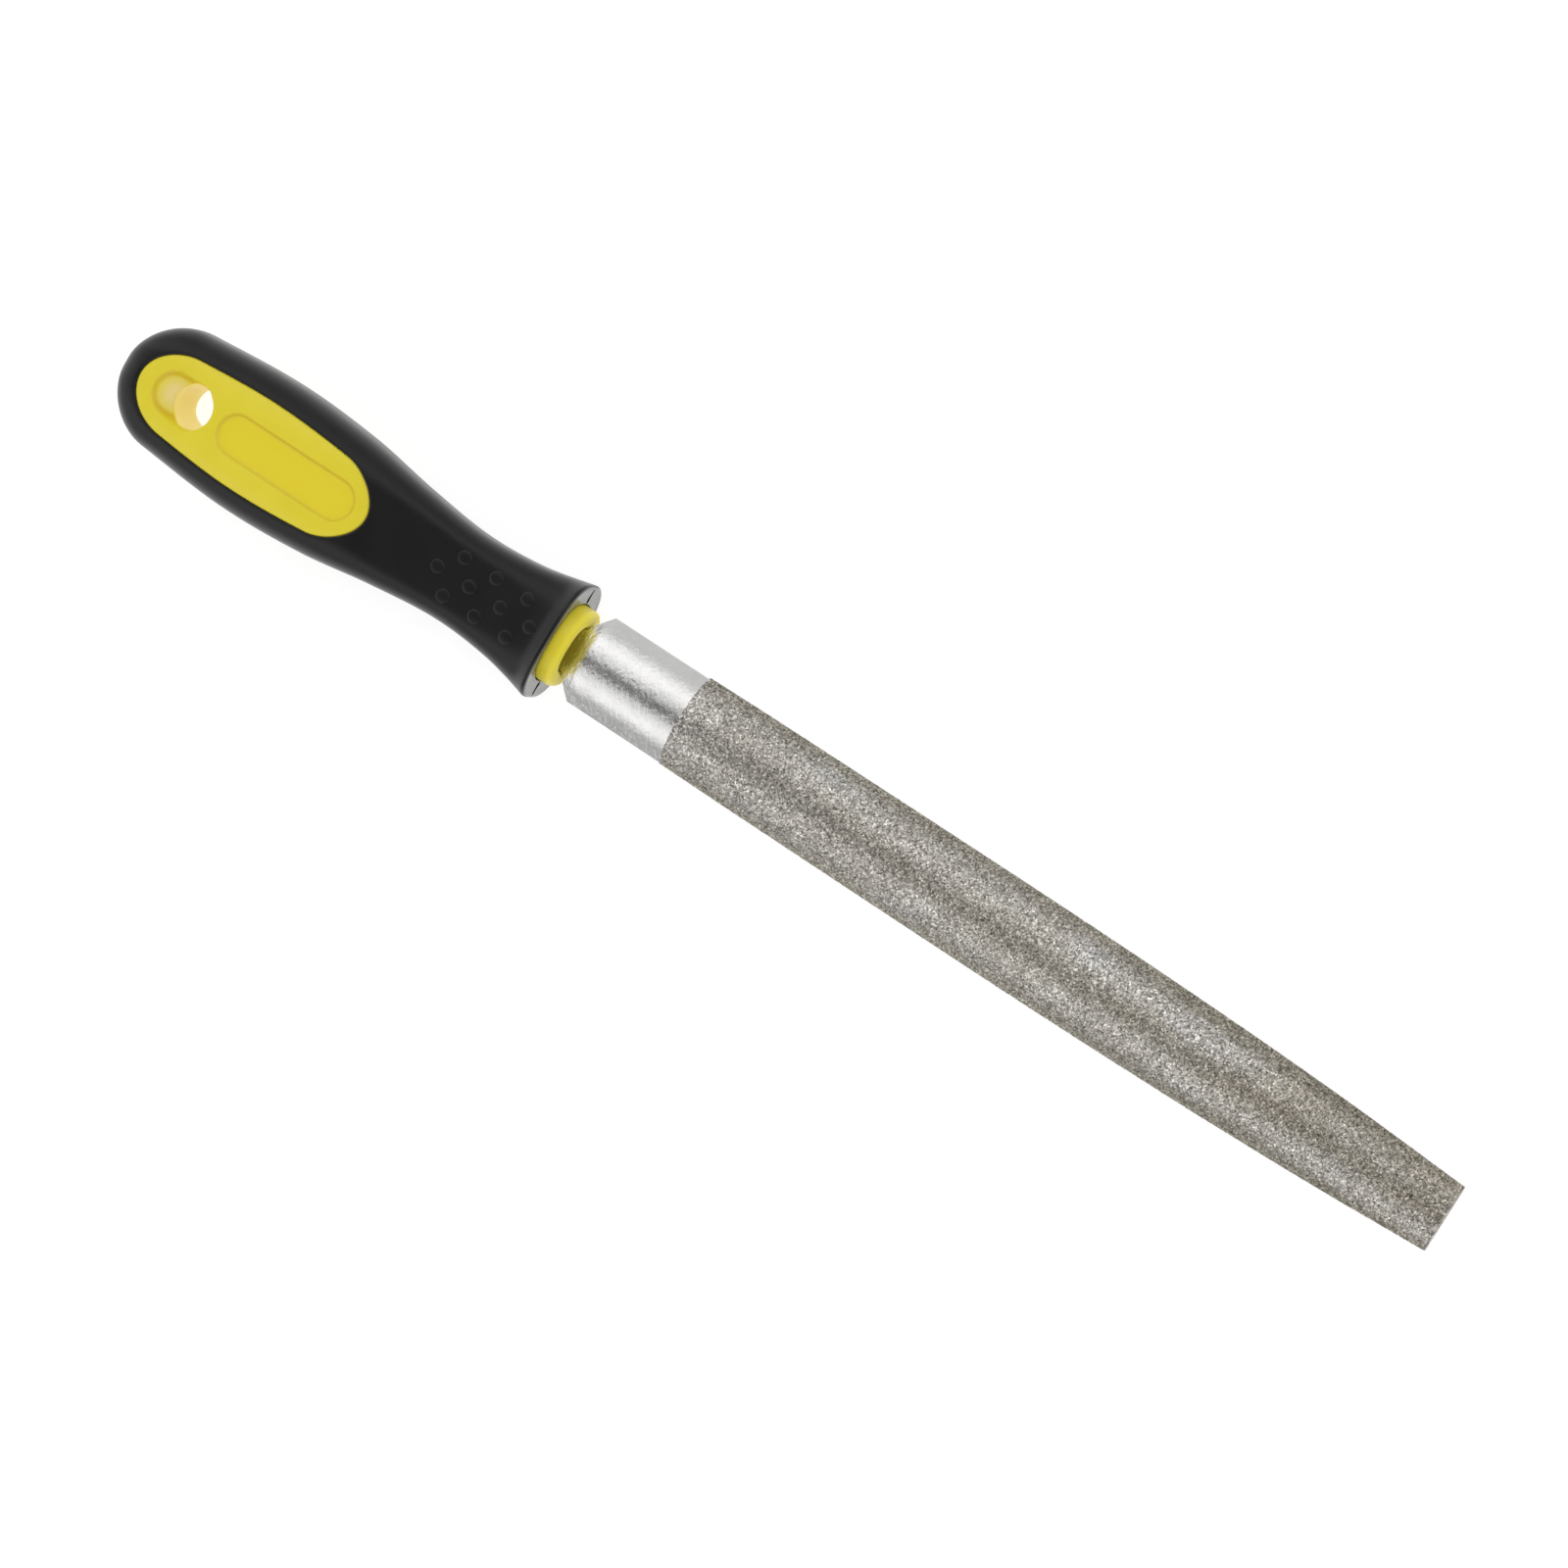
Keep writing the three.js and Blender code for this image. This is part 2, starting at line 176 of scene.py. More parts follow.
class Shell:
    """Points and faces of a body, collected row by row."""

    def __init__(self):
        self.rows = []
        self.faces = []
        self.count = 0

    def add(self, points):
        """Adds points and returns their indices."""
        start = self.count
        self.rows.append(np.asarray(points, float))
        self.count += len(points)
        return list(range(start, self.count))

    def join(self, rows, between=bridge):
        """Adds quads between neighbouring rows."""
        for a, b in zip(rows, rows[1:]):
            self.faces += between(a, b)

    def points(self):
        return np.vstack(self.rows)

    def mirrored(self):
        """All points and faces, with their mirror image below the handle's middle plane."""
        top = self.points()
        below = [tuple(k + len(top) for k in f[::-1]) for f in self.faces]
        return np.vstack([top, top * [1, 1, -1]]), self.faces + below


def make_object(name, points, faces, node, slot, smooth=True, sharp_angle=None):
    """A mesh object from millimetre points, riding on the root body."""
    mesh = bpy.data.meshes.new(name)
    places = (np.asarray(points, float) + SHIFT) / 1000
    mesh.from_pydata(places.tolist(), [], [list(map(int, f)) for f in faces])
    mesh.validate()
    b = bmesh.new()
    b.from_mesh(mesh)
    bmesh.ops.remove_doubles(b, verts=b.verts, dist=2e-6)
    bmesh.ops.dissolve_degenerate(b, edges=b.edges, dist=1e-7)
    bmesh.ops.recalc_face_normals(b, faces=b.faces)
    b.to_mesh(mesh)
    b.free()
    obj = bpy.data.objects.new(name, mesh)
    bpy.context.scene.collection.objects.link(obj)
    if smooth:
        mesh.shade_smooth()
    else:
        mesh.shade_flat()
    if sharp_angle is not None:
        mesh.set_sharp_from_angle(angle=math.radians(sharp_angle))
    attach(obj, "root")
    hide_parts(node)
    return obj


# ---- the handle's outer surface ----
def butt_stations(inset, count):
    """x positions round the butt, from its end to where its rounding starts."""
    turn = np.linspace(BUTT_FLAT_SHARE, 1, count) * math.pi / 2
    return BUTT_START - (BUTT_ROUND - inset) * np.cos(turn)


def top_sections(x, inset):
    """Upper half sections: for each x, points (y, z) evenly spread by length from +y over the top to -y."""
    x = np.atleast_1d(np.asarray(x, float))
    s = np.clip((BUTT_START - x) / (BUTT_ROUND - inset), 0, 1)
    half_y = ((smooth_at(HALF_WIDTH, x) - inset) * np.sqrt(1 - s**2))[:, None]
    close = ((1 - s**3) ** (1 / 3))[:, None]
    cut = smooth_at(CROWN_CUT, x)[:, None]
    flat = (smooth_at(HALF_THICKNESS, x) - inset)[:, None] * close
    angle = np.linspace(0, math.pi, ACROSS)
    cos, sin = np.cos(angle), np.sin(angle)
    y = half_y * np.sign(cos) * np.abs(cos) ** (2 / SQUARENESS)
    z = (flat + cut * close) * np.abs(sin) ** (2 / SQUARENESS)
    crowned = flat - CROWN_SAG * close * (y / np.maximum(half_y, TINY)) ** 2
    z = np.where(cut > LEAST_CUT, smooth_min(z, crowned, CROWN_BLEND), z)
    z = np.maximum(z, 0)
    z[:, 0] = z[:, -1] = 0
    steps = np.hypot(np.diff(y, axis=1), np.diff(z, axis=1))
    run = np.concatenate([np.zeros((len(x), 1)), np.cumsum(steps, axis=1)], axis=1)
    share = run / np.maximum(run[:, -1:], 1e-9)
    even = np.linspace(0, 1, ACROSS)
    out = np.empty((len(x), ACROSS, 2))
    for i in range(len(x)):
        out[i, :, 0] = np.interp(even, share[i], y[i])
        out[i, :, 1] = np.interp(even, share[i], z[i])
    return out


class Skin:
    """The handle's upper surface at an inset, looked up by x and by v, the share of the way across."""

    def __init__(self, inset, front):
        body = np.arange(BUTT_START, front - 0.2, 0.4)
        self.x = np.concatenate([butt_stations(inset, 60)[:-1], body, [front]])
        self.table = top_sections(self.x, inset)
        self.inset = inset

    def at(self, x, v):
        x, v = np.atleast_1d(np.asarray(x, float)), np.atleast_1d(np.asarray(v, float))
        i = np.clip(np.searchsorted(self.x, x) - 1, 0, len(self.x) - 2)
        t = np.clip((x - self.x[i]) / (self.x[i + 1] - self.x[i]), 0, 1)[:, None]
        k = np.clip(v, 0, 1) * (ACROSS - 1)
        j = np.clip(k.astype(int), 0, ACROSS - 2)
        f = (k - j)[:, None]
        low = self.table[i, j] * (1 - f) + self.table[i, j + 1] * f
        high = self.table[i + 1, j] * (1 - f) + self.table[i + 1, j + 1] * f
        return np.column_stack([x, low * (1 - t) + high * t])

    def v_of(self, x, y):
        """The share across at which the surface has that y."""
        x, y = np.atleast_1d(np.asarray(x, float)), np.atleast_1d(np.asarray(y, float))
        out = np.empty(len(x))
        for n in range(len(x)):
            i = int(np.clip(np.searchsorted(self.x, x[n]) - 1, 0, len(self.x) - 2))
            t = (x[n] - self.x[i]) / (self.x[i + 1] - self.x[i])
            row = self.table[i, :, 0] * (1 - t) + self.table[i + 1, :, 0] * t
            out[n] = np.interp(-y[n], -row, np.linspace(0, 1, ACROSS))
        return out

    def height(self, x, y):
        return self.at(x, self.v_of(x, y))[:, 2]


OUTER = Skin(0.0, -RIM_ROUND)
INNER = Skin(GRIP_WALL, -GRIP_WALL)


# ---- plan outlines and flat meshes ----
def evenly(points, count, closed=True):
    """count points spread evenly along a polyline."""
    path = np.vstack([points, points[:1]]) if closed else np.asarray(points)
    run = np.concatenate([[0], np.cumsum(np.linalg.norm(np.diff(path, axis=0), axis=1))])
    at = np.linspace(0, run[-1], count, endpoint=not closed)
    return np.column_stack([np.interp(at, run, path[:, k]) for k in range(path.shape[1])])


def window_outline(grow):
    low, high = WINDOW[0] - grow, WINDOW[1] + grow
    x = (low + high) / 2 - (high - low) / 2 * np.cos(np.linspace(0, math.pi, 400))
    butt = np.clip(1 - (x - low) / (WINDOW_ROUNDS[0] + grow), 0, 1)
    front = np.clip(1 - (high - x) / (WINDOW_ROUNDS[1] + grow), 0, 1)
    y = (smooth_at(HALF_WIDTH, x) - WINDOW_MARGIN + grow) * np.sqrt((1 - butt**2) * (1 - front**2))
    side = np.column_stack([x, y])
    return evenly(np.vstack([side, side[-2:0:-1] * [1, -1]]), WINDOW_COUNT)


def circle(x, y, radius, count):
    turn = np.linspace(0, 2 * math.pi, count, endpoint=False)
    return np.column_stack([x + radius * np.cos(turn), y + radius * np.sin(turn)])


def stadium(offset):
    """The thumb recess's outline, moved outwards by offset."""
    butt, front = RECESS
    r = RECESS_RADIUS + offset
    left = np.linspace(math.pi / 2, 3 * math.pi / 2, 60)
    right = np.linspace(-math.pi / 2, math.pi / 2, 60)
    loop = np.vstack([
        np.column_stack([butt + r * np.cos(left), r * np.sin(left)]),
        np.column_stack([front + r * np.cos(right), r * np.sin(right)]),
    ])
    return evenly(loop, RECESS_COUNT)


def superellipse(half, turn, squareness=RING_SQUARENESS):
    """Points (y, z) of an oval with flattened sides."""
    power = lambda value: np.sign(value) * np.abs(value) ** (2 / squareness)
    return np.column_stack([half[0] * power(np.cos(turn)), half[1] * power(np.sin(turn))])


def outward(outline):
    """Unit normals of a closed plan outline, pointing out of it."""
    along = np.roll(outline, -1, axis=0) - np.roll(outline, 1, axis=0)
    normal = np.column_stack([along[:, 1], -along[:, 0]])
    normal /= lengths(normal)
    flip = np.sum(normal * (outline - outline.mean(axis=0)), axis=1).sum() < 0
    return -normal if flip else normal


def inside(points, loop):
    """Which points lie inside a closed loop."""
    x, y = points[:, 0], points[:, 1]
    result = np.zeros(len(points), bool)
    for (x0, y0), (x1, y1) in zip(loop, np.roll(loop, -1, axis=0)):
        if y0 == y1:
            continue
        crosses = (y0 > y) != (y1 > y)
        result ^= crosses & (x < (x1 - x0) * (y - y0) / (y1 - y0) + x0)
    return result


def near(points, loops, distance):
    """Which points lie within distance of any loop's points."""
    close = np.zeros(len(points), bool)
    for loop in loops:
        low, high = loop.min(0) - distance, loop.max(0) + distance
        inside_box = np.where(np.all((points > low) & (points < high), axis=1))[0]
        for k in range(0, len(inside_box), 4000):
            part = inside_box[k : k + 4000]
            gap = np.min(np.linalg.norm(points[part][:, None] - loop[None], axis=2), axis=1)
            close[part] |= gap < distance
    return close


def triangulate(loose, loops, keep):
    """Triangles over loose points and closed loops, where keep holds for their middles.

    Also returns the new index of each old point. The loops' points come first.
    """
    edges, start = [], 0
    for loop in loops:
        n = len(loop)
        edges += [(start + k, start + (k + 1) % n) for k in range(n)]
        start += n
    made = delaunay_2d_cdt([Vector(p) for p in np.vstack(loops + [loose])], edges, [], 0, 1e-7, True)
    points = np.array([tuple(p) for p in made[0]])
    faces = np.array([f for f in made[2] if len(f) == 3])
    faces = faces[keep(points[faces].mean(axis=1))]
    source = {old: new for new, olds in enumerate(made[3]) for old in olds}
    return points, faces, source


# ---- black grip ----
def bump_guides(skin, bumps):
    """Rings of points in the laid-out skin, so that each bump's edge is meshed finely."""
    guides = []
    for bx, by in bumps:
        for share in (1.08, 1.0, 0.96, 0.88, 0.74, 0.5, 0.2):
            ring = circle(bx, by, BUMP_R * share, 28 if share > 0.5 else 14)
            guides.append(np.column_stack([ring[:, 0], skin.v_of(ring[:, 0], ring[:, 1]) * WIDE]))
    return guides


def grip_sheet(skin, spacing, front, bumps):
    """One skin of the upper half, cut open at the window.

    Returns its points, faces, the window loop's indices and the laid-out points.
    """
    outline = window_outline(SEAM + LIP)
    hole = np.column_stack([outline[:, 0], skin.v_of(outline[:, 0], outline[:, 1]) * WIDE])
    guides = bump_guides(skin, bumps)
    flare = front - 6
    cap = butt_stations(skin.inset, int(9 / spacing) + 6)
    body = np.linspace(BUTT_START, flare, int((flare - BUTT_START) / spacing))
    xs = np.concatenate([cap[:-1], body[:-1], np.linspace(flare, front, int(6 / spacing * 1.6))])
    vs = np.linspace(0, WIDE, COLUMNS)
    grid = np.column_stack([np.repeat(xs, len(vs)), np.tile(vs, len(xs))])
    side = (grid[:, 1] < TINY) | (grid[:, 1] > WIDE - TINY)
    edge = side | (grid[:, 0] > front - TINY) | (grid[:, 0] < xs[0] + TINY)
    free = ~near(grid, [hole], 0.55 * spacing) & ~near(grid, guides, 0.3) & ~inside(grid, hole)
    flat, faces, source = triangulate(grid[edge | free], [hole] + guides, lambda m: ~inside(m, hole))
    points = skin.at(flat[:, 0], flat[:, 1] / WIDE)
    for bx, by in bumps:
        r = np.hypot(points[:, 0] - bx, points[:, 1] - by) / BUMP_R
        points[:, 2] += BUMP_H * np.where(r < 1, np.maximum(1 - r**5, 0) ** 0.6, 0)
    return points, faces, [source[k] for k in range(len(outline))], flat


def window_lip(shell, outer_loop, inner_loop, edge_z):
    """Rounded lip of the window, then its wall down to the inner skin."""
    outline = window_outline(SEAM + LIP)
    normal = outward(outline)
    rows = [outer_loop]
    for degrees in QUARTER:
        a = math.radians(degrees)
        plan = outline - normal * LIP * math.sin(a)
        rows.append(shell.add(np.column_stack([plan, edge_z - LIP * (1 - math.cos(a))])))
    rows.append(shell.add(np.column_stack([outline - normal * LIP, edge_z - WINDOW_WALL])))
    rows.append(inner_loop)
    shell.join(rows)


def front_face(shell, rim, back):
    """Rounded rim, front face and the opening for the nose ring, down to the inner skin."""
    rim_yz = shell.points()[rim][:, 1:]
    rim_size = lengths(rim_yz)
    clear = (RING[0] + RING_CLEAR, RING[1] + RING_CLEAR)
    opening = evenly(superellipse(clear, np.linspace(0, math.pi, len(rim))), len(rim), closed=False)
    size = lengths(opening)
    rows = [rim]
    for degrees in QUARTER:
        a = math.radians(degrees)
        smaller = 1 - RIM_ROUND * (1 - math.cos(a)) / rim_size
        rows.append(shell.add(section_at(-RIM_ROUND * (1 - math.sin(a)), rim_yz * smaller)))
    face_edge = rim_yz * (1 - RIM_ROUND / rim_size)
    for share in np.linspace(0, 1, 9)[1:]:
        yz = face_edge * (1 - share) + opening * share
        if share == 1:
            yz = opening * (1 + FACE_LIP / size)
        rows.append(shell.add(section_at(-FACE_DISH * math.sin(share * math.pi), yz)))
    for degrees in (30, 60, 90):
        a = math.radians(degrees)
        larger = 1 + FACE_LIP * (1 - math.sin(a)) / size
        rows.append(shell.add(section_at(-FACE_LIP * (1 - math.cos(a)), opening * larger)))
    rows.append(shell.add(section_at(-GRIP_WALL, opening)))
    rows.append(back)
    shell.join(rows, strip)


def front_row(flat, indices, front):
    """The indices of a sheet's points on its front edge, in order across."""
    on_edge = np.where(flat[:, 0] > front - TINY)[0]
    return [indices[k] for k in sorted(on_edge, key=lambda k: flat[k, 1])]


def build_grip():
    shell = Shell()
    outer, outer_faces, outer_window, outer_flat = grip_sheet(OUTER, OUTER_SPACING, -RIM_ROUND, BUMPS)
    inner, inner_faces, inner_window, inner_flat = grip_sheet(INNER, INNER_SPACING, -GRIP_WALL, [])
    outer_at, inner_at = shell.add(outer), shell.add(inner)
    shell.faces += [tuple(outer_at[k] for k in f) for f in outer_faces]
    shell.faces += [tuple(inner_at[k] for k in f[::-1]) for f in inner_faces]
    outer_loop = [outer_at[k] for k in outer_window]
    inner_loop = [inner_at[k] for k in inner_window]
    window_lip(shell, outer_loop, inner_loop, outer[outer_window][:, 2])
    rim = front_row(outer_flat, outer_at, -RIM_ROUND)
    front_face(shell, rim, front_row(inner_flat, inner_at, -GRIP_WALL))
    return make_object("grip", *shell.mirrored(), "handle_grip", "black_elastomer")


def cut_slits(grip):
    """Thin wedge-shaped slits at mid height in the grip's front face."""
    size = np.array([2 * SLIT_DEPTH, SLIT_LENGTH, SLIT_WIDTH]) / 1000
    for side in (1, -1):
        b = bmesh.new()
        bmesh.ops.create_cube(b, size=1)
        bmesh.ops.bevel(b, geom=b.edges[:], offset=0.12, segments=2, affect="EDGES")
        mesh = bpy.data.meshes.new("slit_cutter")
        b.to_mesh(mesh)
        b.free()
        place = (np.array([0.0, side * (RING[0] + SLIT_START + SLIT_LENGTH / 2), 0.0]) + SHIFT) / 1000
        for vertex in mesh.vertices:
            vertex.co.z *= 1.5 - 1.1 * side * vertex.co.y
        mesh.transform(Matrix.Translation(Vector(place)) @ Matrix.Diagonal((*size, 1)))
        cutter = bpy.data.objects.new("slit_cutter", mesh)
        bpy.context.scene.collection.objects.link(cutter)
        cut = grip.modifiers.new("slit", "BOOLEAN")
        cut.operation = "DIFFERENCE"
        cut.solver = "EXACT"
        cut.object = cutter
        bpy.context.view_layer.update()
        depsgraph = bpy.context.evaluated_depsgraph_get()
        done = bpy.data.meshes.new_from_object(grip.evaluated_get(depsgraph))
        grip.modifiers.clear()
        grip.data = done
        bpy.data.objects.remove(cutter)
    grip.data.set_sharp_from_angle(angle=math.radians(38))


# ---- yellow core ----
def recess_level(x, y):
    """How far a point lies inside the recess's edge, in millimetres, negative outside."""
    return RECESS_RADIUS - np.hypot(x - np.clip(x, *RECESS), y)


def scoop_drop(x, y):
    """Depth of the scoop: a channel with a round end that ramps down to the hole and fades out beside it."""
    end = SCOOP_TIP + SCOOP_ROUND
    back = np.clip((end - x) / SCOOP_ROUND, 0, 1)
    half = SCOOP_HALF * np.sqrt(1 - back**2) + 1e-4
    past = np.clip((x - HOLE_X) / SCOOP_FADE, 0, 1)
    deep = SCOOP_DEPTH * (1 - back) ** 0.85 + SCOOP_SLOPE * np.clip(x - end, 0, None)
    across = np.clip(np.abs(y) / (half + 0.45 * (1 - back)), 0, 1)
    fade = 1 - past * past * (3 - 2 * past)
    return deep * (1 - across**4) ** 1.1 * fade * (x > SCOOP_TIP)


def pad_height(x, y):
    step = np.clip(recess_level(x, y) / RECESS_STEP + 0.5, 0, 1)
    recess = RECESS_DEPTH * step * step * (3 - 2 * step)
    rim = np.clip(np.hypot(x - HOLE_X, y) - HOLE_R, 0, HOLE_ROUND)
    hole_edge = HOLE_ROUND - np.sqrt(HOLE_ROUND**2 - (HOLE_ROUND - rim) ** 2)
    return OUTER.height(x, y) - PAD_SINK - recess - scoop_drop(x, y) - hole_edge


def pad_points(rims, steps):
    """Loose plan points over the pad: finer round the hole, and along the recess's step."""
    low, high = WINDOW
    from_hole = lambda points: np.hypot(points[:, 0] - HOLE_X, points[:, 1])
    grid = lambda end, side, gap: np.stack(
        np.meshgrid(np.arange(low, end, gap), np.arange(-side, side + 0.01, gap)), -1
    ).reshape(-1, 2)
    fine_end, fine_side, clear = HOLE_X + 7, 5.4, HOLE_R + 0.75
    coarse = grid(high, 11, 0.55)
    coarse = coarse[(coarse[:, 0] > fine_end) | (np.abs(coarse[:, 1]) > fine_side + 0.1)]
    loose = np.vstack([coarse, grid(fine_end, fine_side, 0.28)])
    loose = loose[inside(loose, rims[0])]
    loose = loose[from_hole(loose) > clear]
    loose = loose[~near(loose, rims, 0.22) & ~near(loose, steps, 0.16)]
    return np.vstack([loose] + [s[from_hole(s) > clear] for s in steps])


def build_pads():
    """The two yellow pads with their rounded edges and the wall of the hang hole."""
    rims = [window_outline(-PAD_ROUND), window_outline(-1.0)]
    holes = [circle(HOLE_X, 0, HOLE_R + g, HOLE_COUNT) for g in (0.0, 0.05, 0.15, 0.32, 0.6)]
    steps = [stadium(g) for g in (-0.38, -0.22, -0.08, 0.08, 0.22, 0.38)]
    keep = lambda m: (np.hypot(m[:, 0] - HOLE_X, m[:, 1]) > HOLE_R - 1e-3) & inside(m, rims[0])
    flat, faces, source = triangulate(pad_points(rims, steps), rims + holes, keep)
    top = np.column_stack([flat, pad_height(flat[:, 0], flat[:, 1])])
    shell = Shell()
    shell.add(top)
    shell.faces += [tuple(f) for f in faces]

    edge = [source[k] for k in range(WINDOW_COUNT)]
    edge_z = top[edge][:, 2]
    normal = outward(rims[0])
    rows = [edge]
    for degrees in QUARTER:
        a = math.radians(degrees)
        plan = rims[0] + normal * PAD_ROUND * math.sin(a)
        rows.append(shell.add(np.column_stack([plan, edge_z - PAD_ROUND * (1 - math.cos(a))])))
    rows.append(shell.add(np.column_stack([window_outline(0.0), np.zeros(WINDOW_COUNT)])))
    shell.join(rows)

    hole = [source[len(rims) * WINDOW_COUNT + k] for k in range(HOLE_COUNT)]
    hole_z = top[hole][:, 2]
    wall = [hole]
    for share in (0.85, 0.6, 0.3, 0.0):
        wall.append(shell.add(np.column_stack([circle(HOLE_X, 0, HOLE_R, HOLE_COUNT), hole_z * share])))
    shell.join(wall, lambda a, b: bridge(b, a))
    return shell.mirrored()


def rings_body(rings):
    """A closed body through rings of the same number of points."""
    shell = Shell()
    rows = [shell.add(ring) for ring in rings]
    shell.join(rows)
    shell.faces += [tuple(rows[0][::-1]), tuple(rows[-1])]
    return shell.points(), shell.faces


def oval(x, half, squareness=RING_SQUARENESS):
    loop = superellipse(half, np.linspace(0, 2 * math.pi, 1441), squareness)[:-1]
    return section_at(x, evenly(loop, OVAL_COUNT))


def build_nose():
    """The nose ring with its rounded lip, flared mouth and the socket behind it, as one closed body."""
    shrink = lambda half, s: (half[0] - s, half[1] - s)
    rings = [oval(-6, shrink(RING, 3.0)), oval(-1.8, RING)]
    rings += [oval(x, RING) for x in np.linspace(-1.0, RING_OUT - RING_LIP, 5)]
    for a in np.radians(np.linspace(10, 90, 9)):
        x = RING_OUT - RING_LIP * (1 - math.sin(a))
        rings.append(oval(x, shrink(RING, RING_LIP * (1 - math.cos(a)))))
    rings.append(oval(RING_OUT + 0.02, (6.6, 5.95)))
    for a in np.radians(np.linspace(90, 0, 7)):
        x = RING_OUT - MOUTH_FLARE * (1 - math.sin(a))
        rings.append(oval(x, shrink(MOUTH, -MOUTH_FLARE * (1 - math.cos(a)))))
    rings += [oval(x, MOUTH) for x in (1.4, 0.2, -0.9)]
    rings.append(oval(-1.4, shrink(MOUTH, 0.25)))
    rings += [oval(-1.5, (4.95, 2.6), SOCKET_SQUARENESS), oval(-5.0, (4.75, 2.3), SOCKET_SQUARENESS)]
    return rings_body(rings)


def build_inner_body():
    """The core's body under the grip."""
    xs = np.concatenate([[-84.0], np.arange(-82, -4, 2.5), [-2.6]])
    tops = top_sections(xs, GRIP_WALL + 0.3)[:, :: (ACROSS - 1) // 36]
    whole = lambda half: np.vstack([half, half[-2:0:-1] * [1, -1]])
    return rings_body([section_at(x, whole(half)) for x, half in zip(xs, tops)])


def build_core():
    """Pads with their hole, inner body and nose ring."""
    shell = Shell()
    for points, faces in (build_pads(), build_inner_body(), build_nose()):
        at = shell.add(points)
        shell.faces += [tuple(at[k] for k in f) for f in faces]
    return make_object("core", shell.points(), shell.faces, "handle_core", "yellow_plastic", sharp_angle=50)


# ---- blade ----
def half_round(half_width, flat_z, crown_z, counts, edge, arc_to=None):
    """A half-round section with small rounded corners: counts are points on the crown and on the flat.

    Beyond arc_to from the middle, the crown goes on straight.
    """
    reach = math.asin(half_width / CROWN_R)
    angle = np.linspace(reach, -reach, counts[0])
    crown = np.column_stack([CROWN_R * np.sin(angle), crown_z - CROWN_R * (1 - np.cos(angle))])
    if arc_to is not None and arc_to < half_width:
        slope = math.asin(arc_to / CROWN_R)
        beyond = np.abs(crown[:, 0]) - arc_to
        straight = crown_z - CROWN_R * (1 - math.cos(slope)) - beyond * math.tan(slope)
        crown[:, 1] = np.where(beyond > 0, straight, crown[:, 1])
    low = flat_z + edge
    turn = np.radians([180, 210, 240, 270])
    corner = np.column_stack([-half_width + edge + edge * np.cos(turn), low + edge * np.sin(turn)])
    left = np.column_stack([np.full(3, -half_width), np.linspace(crown[0, 1], low, 5)[1:-1]])
    flat = np.linspace(-half_width + edge, half_width - edge, counts[1])[1:-1]
    bottom = np.column_stack([flat, np.full(len(flat), flat_z)])
    return np.vstack([crown, left, corner, bottom, corner[::-1] * [-1, 1], left[::-1] * [-1, 1]])


def build_blade():
    """Tang, shoulders and shank, and the steel that runs on under the coat."""
    ring = lambda x, *sizes: section_at(x, half_round(*sizes, (61, 41), STEEL_EDGE, SHANK_ARC))
    half_width, flat_z, crown_z = SHANK
    root_width, root_height = SHOULDER_START
    rings = [ring(x, width, -height, height) for x, width, height in TANG]
    for share in np.linspace(0, 1, 9):
        width = root_width + (half_width - root_width) * share**SHOULDER_BULGE
        low = -root_height + (flat_z + root_height) * share
        high = root_height + (crown_z - root_height) * share
        rings.append(ring(SHOULDER_X + SHOULDER_LENGTH * share, width, low, high))
    for x in np.linspace(SHOULDER_X + SHOULDER_LENGTH + 0.4, COAT_X + 0.4, 40):
        rings.append(ring(x, *SHANK))
    for x in np.linspace(COAT_X + 1.2, TIP_X - 0.8, 20):
        width = float(smooth_at(COAT_WIDTH, x)) - STEEL_BELOW
        rings.append(ring(x, width, FLAT_Z + STEEL_BELOW, float(smooth_at(COAT_CROWN, x)) - STEEL_BELOW))
    return make_object("blade_steel", *rings_body(rings), "blade", "bare_steel", sharp_angle=32)


def coat_section(x, inset):
    half_width = float(smooth_at(COAT_WIDTH, x)) - inset
    crown_z = float(smooth_at(COAT_CROWN, x)) - inset
    return half_round(half_width, FLAT_Z + inset, crown_z, (72, 58), COAT_EDGE)


def grain_surface():
    """The coat's outside as rows of points, each pushed a little out of place."""
    xs = np.linspace(COAT_X, TIP_X, int((TIP_X - COAT_X) / GRIT))
    outer = np.array([coat_section(x, 0.0) for x in xs])
    n = outer.shape[1]
    points = np.concatenate([np.repeat(xs[:, None, None], n, axis=1), outer], axis=2)
    along = np.roll(outer, -1, axis=1) - np.roll(outer, 1, axis=1)
    along /= np.maximum(np.linalg.norm(along, axis=2, keepdims=True), 1e-9)
    normal = np.stack([along[..., 1], -along[..., 0]], -1)
    normal *= np.sign(np.sum(normal * (outer - outer.mean(axis=1, keepdims=True)), axis=2).sum())
    shape = points.shape[:2]
    rough = RANDOM.random(shape)
    lift = (rough**1.4 - 0.55) * 0.055 + 0.008 * RANDOM.standard_normal(shape)
    points[..., 1:] += normal * lift[..., None]
    points[1:-1, :, 0] += (RANDOM.random(points[1:-1, :, 0].shape) - 0.5) * GRIT * 0.62
    points[..., 1:] += along * ((RANDOM.random(shape) - 0.5) * GRIT * 0.5)[..., None]
    points[0, :, 0] += (RANDOM.random(n) - 0.5) * 0.16
    return points


def grain_facets(a, b, turned):
    """Two triangles for each quad between neighbouring rows, split either way."""
    faces = []
    n = len(a)
    for j in range(n):
        p, q = a[j], a[(j + 1) % n]
        r, s = b[(j + 1) % n], b[j]
        faces += [(p, q, r), (p, r, s)] if turned(j) else [(p, q, s), (q, r, s)]
    return faces


